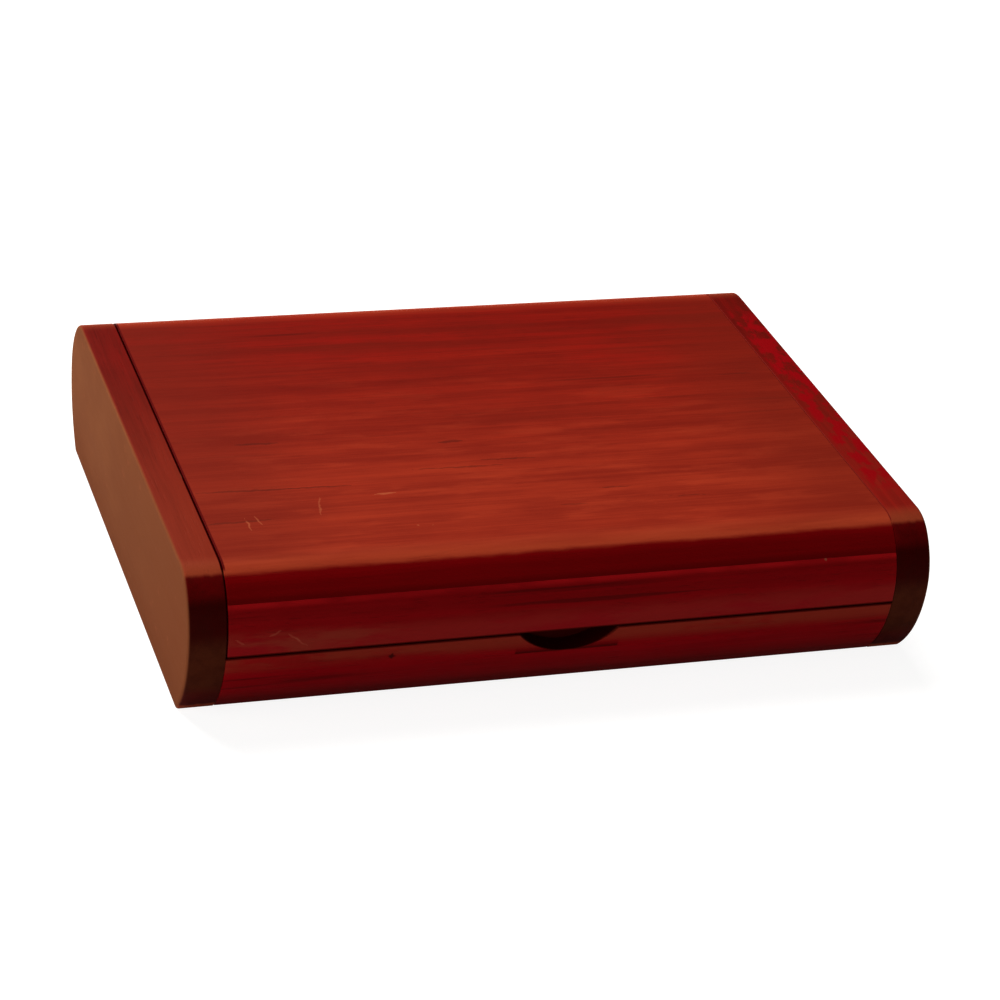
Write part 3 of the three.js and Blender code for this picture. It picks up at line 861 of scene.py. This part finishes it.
low, high = seated_box("bottom_panel")
low.z = 0
panel = board_between("bottom_panel_wood", low, high)
round_over(panel, eased, 2, sharpness=40)
finish_piece(panel, inner_finish, "inner_wood", "case", "bottom_panel")

# ---- Chip racks ---------------------------------------------------------------------------------
# Two blocks, each with two half-round troughs cut along it, one for each row of chips lying on
# edge. They are stained like the bottom panel and glued down on it.
trough_radius = 0.02025
trough_wall = 0.0024
trough_axis_height = 0.02655
trough_pitch = 2 * trough_radius + trough_wall
rack_round = 0.0005

for side in ("left", "right"):
    low, high = seated_box("chip_rack_" + side)
    dip = math.asin((trough_axis_height - high.z) / trough_radius)
    mouth = trough_radius * math.cos(dip)
    strokes = [(low.x, low.z), (high.x, low.z), (high.x, high.z)]
    for row in (0.5, -0.5):
        axis_x = (low.x + high.x) / 2 + row * trough_pitch
        strokes += [(axis_x + mouth, high.z), (axis_x, trough_axis_height, 2 * dip - math.pi)]
    rack = draw_solid(
        f"chip_rack_{side}_wood",
        (low.x, high.z),
        strokes,
        high.y - low.y,
        across=(1, 0, 0),
        away=(0, 1, 0),
    )
    shift(rack, (0, low.y, 0))
    round_over(rack, rack_round, 2, sharpness=40)
    finish_piece(rack, inner_finish, "inner_wood", "case", "chip_rack_" + side)

# ---- Partitions ---------------------------------------------------------------------------------
# Three thin boards on edge between the racks: two along them and one across, which parts the card
# well from the dice well. Their top edges are rounded by hand.
partition_round = 0.0012
for name in ("partition_left", "partition_right", "partition_cross"):
    low, high = seated_box(name)
    partition = board_between(name + "_wood", low, high)
    round_over(partition, partition_round, 4, lambda middle: middle.z > high.z - touching, 40)
    finish_piece(partition, inner_finish, "inner_wood", "case", name)

# ---- Felts --------------------------------------------------------------------------------------
# Dark green wool felt, cut with a knife and glued flat to the floors of the two wells. The nap is
# short and fuzzy, and has picked up a little lighter fluff.
felt_round = 0.0003
felt_finish = bpy.data.materials.new("felt_finish")
felt_finish.use_nodes = True
felt_tree = felt_finish.node_tree
felt_shader = felt_tree.nodes["Principled BSDF"]
felt_place = felt_tree.nodes.new("ShaderNodeTexCoord").outputs["Object"]
nap = add_noise(felt_tree, felt_place, (1500, 1500, 1500), 3, 0.7)
laid_hair = add_noise(felt_tree, felt_place, (420, 700, 500), 4, 0.7)
worn_patch = add_noise(felt_tree, felt_place, (18, 18, 18), 3)
hair_light = add_ramp(felt_tree, laid_hair, 0.3, 0.7)
felt_colour = add_mix(felt_tree, hair_light, (0.008, 0.05, 0.025), (0.02, 0.1, 0.052))
worn_patch = add_ramp(felt_tree, worn_patch, 0.5, 0.75, 0, 0.35)
felt_colour = add_mix(felt_tree, worn_patch, felt_colour, (0.026, 0.1, 0.06))
fluff = add_ramp(felt_tree, nap, 0.66, 0.8, 0, 0.5)
felt_colour = add_mix(felt_tree, fluff, felt_colour, (0.07, 0.19, 0.12))
felt_tree.links.new(felt_colour, felt_shader.inputs["Base Color"])
felt_shader.inputs["Roughness"].default_value = 0.95
felt_shader.inputs["Specular IOR Level"].default_value = 0.12
felt_shader.inputs["Sheen Weight"].default_value = 0.25
felt_shader.inputs["Sheen Roughness"].default_value = 0.5
felt_relief = felt_tree.nodes.new("ShaderNodeBump")
felt_relief.inputs["Strength"].default_value = 0.6
felt_relief.inputs["Distance"].default_value = 0.0004
felt_tree.links.new(add_math(felt_tree, "ADD", nap, laid_hair), felt_relief.inputs["Height"])
felt_tree.links.new(felt_relief.outputs["Normal"], felt_shader.inputs["Normal"])


def lay_felt(name, low, high, body, node):
    """A sheet of felt cut to fill a box, with soft cut edges."""
    felt = board_between(name, low, high)
    round_over(felt, min(felt_round, (high.z - low.z) * 0.4), 3, sharpness=40)
    finish_piece(felt, felt_finish, "green_felt", body, node)


for name in ("card_well_felt", "dice_well_felt"):
    low, high = seated_box(name)
    lay_felt(name + "_cloth", low, high, "case", name)

# ---- Lid ----------------------------------------------------------------------------------------
# A flat board glued on top of two moulded rails, all with the grain along the case. The rails carry
# the rounded face from the glue line down to the seam, and the back one ends in a round bead that
# turns about the hinge pins. The board is scratched, and carries a painted highlight along its edges,
# a painted sheen towards the front and painted shade on its rounded faces below the creases.
lid_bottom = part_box("lid_front_rail")[0].z
panel_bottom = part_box("lid_top_panel")[0].z
lid_left_gap = 0.0005
lid_right_gap = 0.00007
lid_eased = 0.00018
lid_start = left_inner + lid_left_gap
lid_end = right_inner - lid_right_gap
lid_length = lid_end - lid_start

lid_board = Board(
    "lid_top_finish",
    turn=(0, 0, 0),
    offset=(0.2, 0.1, 0.0),
    heart=(0, -0.02, -0.26),
    rings=150,
    light=(0.2, 0.0118, 0.0054),
    dark=(0.142, 0.006, 0.0034),
    red=(0.215, 0.0078, 0.0046),
    brown=(0.14, 0.0092, 0.0044),
    streak=(0.08, 0.005, 0.0035),
)
lid_tree = lid_board.tree
# Painted sheen: the top grows lighter and more orange towards the front.
front_sheen_share = add_ramp(lid_tree, lid_board.y, 0.085, -0.085, 0, 0.92)
front_sheen_colour = add_mix(lid_tree, lid_board.tone, (0.275, 0.037, 0.0155), (0.19, 0.019, 0.009))
lid_board.layer(front_sheen_share, front_sheen_colour)
# Painted sheen in streaks along the grain, stronger towards the front.
front_sheen_streaks = add_ramp(lid_tree, add_noise(lid_tree, lid_board.place, (26, 120, 120), 4, 0.6), 0.5, 0.68, 0, 0.45)
lid_board.layer(lid_board.scaled(front_sheen_streaks, front_sheen_share), (0.31, 0.046, 0.019))
off_middle = add_math(lid_tree, "ABSOLUTE", lid_board.x)
lid_board.layer(add_ramp(lid_tree, off_middle, 0.062, 0.122, 0, 0.5), (0.145, 0.0155, 0.0075))
off_centre = add_math(lid_tree, "ABSOLUTE", lid_board.y)
# Painted highlight in streaks along both edges of the top, by the creases.
highlight_streaks = add_ramp(lid_tree, add_noise(lid_tree, lid_board.place, (22, 260, 260), 3), 0.3, 0.7, 0.55, 1)
crease_highlight = add_ramp(lid_tree, off_centre, 0.087, 0.0975)
lid_board.layer(lid_board.scaled(crease_highlight, highlight_streaks), (0.295, 0.051, 0.0215))
# Painted shade on the rounded faces below the creases: a dark saturated red, darker towards the glue line and
# at the back.
ragged = add_noise(lid_tree, lid_board.place, (55, 200, 200), 4, 0.6)
shade_from = add_math(lid_tree, "MULTIPLY_ADD", ragged, -0.0022, off_centre)
painted_face_shade = add_mix(lid_tree, lid_board.tone, (0.165, 0.001, 0.0025), (0.13, 0.0009, 0.002))
low_edge = add_ramp(lid_tree, lid_board.z, panel_bottom + 0.0026, panel_bottom + 0.0004, 0, 0.7)
painted_face_shade = add_mix(lid_tree, low_edge, painted_face_shade, (0.085, 0.0007, 0.0012))
back_shade_share = add_ramp(lid_tree, lid_board.y, -0.02, 0.02, 0, 0.9)
painted_face_shade = add_mix(lid_tree, back_shade_share, painted_face_shade, (0.1, 0.003, 0.0035))
lid_board.layer(add_ramp(lid_tree, shade_from, 0.0966, 0.0986), painted_face_shade)
# Painted shade on the lid board's left end, in the gap beside the end block.
gap_shade = add_ramp(lid_tree, lid_board.x, lid_start + 0.0009, lid_start + 0.0005)
gap_shade = lid_board.scaled(gap_shade, add_ramp(lid_tree, off_centre, 0.098, 0.096))
lid_board.layer(gap_shade, (0.09, 0.001, 0.001))

# Dark streaks on the top and then pale scratches: from, to and width in millimetres, and strength.
for start, end, width, strength in (
    ((-124, -45), (-86, -46.4), 1.5, 0.45),
    ((-90, -46.2), (-67, -46.8), 1.2, 0.5),
    ((-126, -67.8), (-101, -67.2), 1.6, 0.4),
    ((-102, -11), (-85.6, -11.7), 1.8, 0.45),
    ((-41, -38.1), (-6.4, -39), 1.3, 0.4),
    ((-13.5, -34.1), (7.4, -35.3), 1.2, 0.45),
    ((103, 21.9), (118, 21.8), 1.2, 0.35),
    ((-25.5, -18.9), (-16.3, -18.6), 2.6, 0.45),
    ((24, -61), (36.5, -61.2), 1.1, 0.45),
    ((48, -70.6), (64, -71.2), 0.9, 0.4),
    ((5.6, -71.4), (16, -71.3), 1.0, 0.4),
):
    ends = [(x / 1000, y / 1000, case_height) for x, y in (start, end)]
    lid_board.mark(*ends, width / 1000, strength, (0.055, 0.009, 0.006))
for start, end, width, strength in (
    ((-60, -54.8), (-52, -54), 1.6, 0.55),
    ((-80.4, -52.4), (-83.3, -67), 0.9, 0.4),
    ((-110.7, -65), (-110.2, -73.8), 0.9, 0.5),
    ((-106.9, -64.2), (-105.4, -71.6), 0.9, 0.45),
    ((-50.8, -78), (-50.4, -78.4), 1.2, 0.5),
    ((-45.5, -78.8), (-45.2, -79), 1.0, 0.5),
):
    ends = [(x / 1000, y / 1000, case_height) for x, y in (start, end)]
    lid_board.mark(*ends, width / 1000, strength, (0.34, 0.11, 0.05))
lid_top_finish = lid_board.lacquer(0.42, 0.03)

lid_rail_board = Board(
    "lid_rail_finish",
    turn=(0, 0, 0),
    offset=(1.3, 0.4, 0.2),
    heart=(0, 0.08, -0.07),
    rings=210,
    light=(0.17, 0.00097, 0.0037),
    dark=(0.14, 0.00081, 0.0027),
    red=(0.18, 0.00081, 0.0035),
    brown=(0.14, 0.0022, 0.0032),
    streak=(0.07, 0.0016, 0.0022),
)
lid_rail_tree = lid_rail_board.tree
lid_rail_height = lid_rail_board.z
# Painted reflection of the floor: the rail lighter towards the seam, with brownish patches, more of them at
# the left.
lid_rail_board.layer(add_ramp(lid_rail_tree, lid_rail_height, 0.039, 0.031, 0, 0.85), (0.185, 0.0065, 0.0095))
floor_sheen_patches = add_noise(lid_rail_tree, lid_rail_board.place, (24, 60, 110), 4, 0.6)
floor_sheen_patches = add_ramp(lid_rail_tree, floor_sheen_patches, 0.42, 0.6)
floor_sheen_low = add_ramp(lid_rail_tree, lid_rail_height, 0.0395, 0.034)
floor_sheen_share = add_ramp(lid_rail_tree, lid_rail_board.x, -0.085, -0.06, 0.8, 0.25)
floor_sheen_low = lid_rail_board.scaled(floor_sheen_low, floor_sheen_share)
lid_rail_board.layer(lid_rail_board.scaled(floor_sheen_patches, floor_sheen_low), (0.17, 0.025, 0.0145))
rubbed_under_panel = add_noise(lid_rail_tree, lid_rail_board.place, (30, 90, 60), 3, 0.6)
rubbed_under_panel = add_ramp(lid_rail_tree, rubbed_under_panel, 0.3, 0.6, 0.3, 1)
under_panel = add_ramp(lid_rail_tree, lid_rail_height, panel_bottom - 0.0026, panel_bottom - 0.0006)
under_panel = lid_rail_board.scaled(under_panel, rubbed_under_panel)
lid_rail_board.layer(under_panel, (0.26, 0.005, 0.008))
lid_rail_board.worn_edges(0.2, (0.2, 0.032, 0.018))
# Painted shade at the back and inside.
lid_rail_board.keep_first_red()
# Painted shade at the seam with the base.
lid_rail_board.layer(add_ramp(lid_rail_tree, lid_rail_height, 0.0288, 0.0283), seam_shade_colour)
lid_rail_board.mark((0.0975, -0.106, 0.0478), (0.0976, -0.1061, 0.0464), 0.0012, 0.7, dent_colour)
for start, end in (
    ((-123.2, -109.5, 35), (-119.6, -109.6, 33.1)),
    ((-111.2, -109.5, 35.5), (-107, -109.3, 37.4)),
    ((-104.8, -109.4, 36.4), (-100.3, -109.6, 32.8)),
    ((-101.8, -109.6, 33.8), (-97.3, -109.5, 30.4)),
):
    lid_rail_board.mark(Vector(start) / 1000, Vector(end) / 1000, 0.0009, 0.3, (0.26, 0.075, 0.045))
lid_rail_finish = lid_rail_board.lacquer(0.38, 0.035)

lid_panel = draw_solid(
    "lid_top_panel_wood",
    (-face_point(panel_bottom)[0], panel_bottom),
    [face_point(panel_bottom)]
    + back_face(panel_bottom, case_height)
    + [(-flat_edge, case_height)]
    + front_face(panel_bottom, case_height),
    lid_length,
)
shift(lid_panel, (lid_start, 0, 0))
round_over(
    lid_panel, lid_eased, 2, lambda middle: not lid_start + touching < middle.x < lid_end - touching, 25
)
lid_rail_top = panel_bottom - glue_line
lid_rail_inner = (rail_inner, lid_rail_top)
front_strokes = [(rail_inner, lid_bottom), face_point(lid_bottom)] + back_face(lid_bottom, lid_rail_top)
lid_front_rail = draw_solid("lid_front_rail_wood", lid_rail_inner, front_strokes, lid_length)
shift(lid_front_rail, (-lid_end, 0, 0))
turn_to_front(lid_front_rail)
bead = [(rail_inner, lid_bottom), (hinge_y - bead_radius, hinge_z), (hinge_y, hinge_z, math.pi)]
back_strokes = bead + back_face(hinge_z, lid_rail_top)
lid_back_rail = draw_solid("lid_back_rail_wood", lid_rail_inner, back_strokes, lid_length)
shift(lid_back_rail, (lid_start, 0, 0))
for rail in (lid_front_rail, lid_back_rail):
    round_over(rail, lid_eased, 2, lambda middle: middle.z < lid_rail_top - 1e-4, 25)
bore_for(lid_back_rail, ("hinge_pin_left", "hinge_pin_right"))
finish_piece(lid_panel, lid_top_finish, "stained_lid_top", "lid", "lid_top_panel")
finish_piece(lid_front_rail, lid_rail_finish, "stained_rail", "lid", "lid_front_rail")
finish_piece(lid_back_rail, lid_rail_finish, "stained_rail", "lid", "lid_back_rail")

# ---- Lid lining ---------------------------------------------------------------------------------
# A sheet of the same felt, thinner, stretched smooth and glued up under the lid's board between
# the rails, so that the chips don't rattle.
low, high = seated_box("lid_lining")
high.z = panel_bottom - glue_line
lay_felt("lid_lining_cloth", low, high, "lid", "lid_lining")
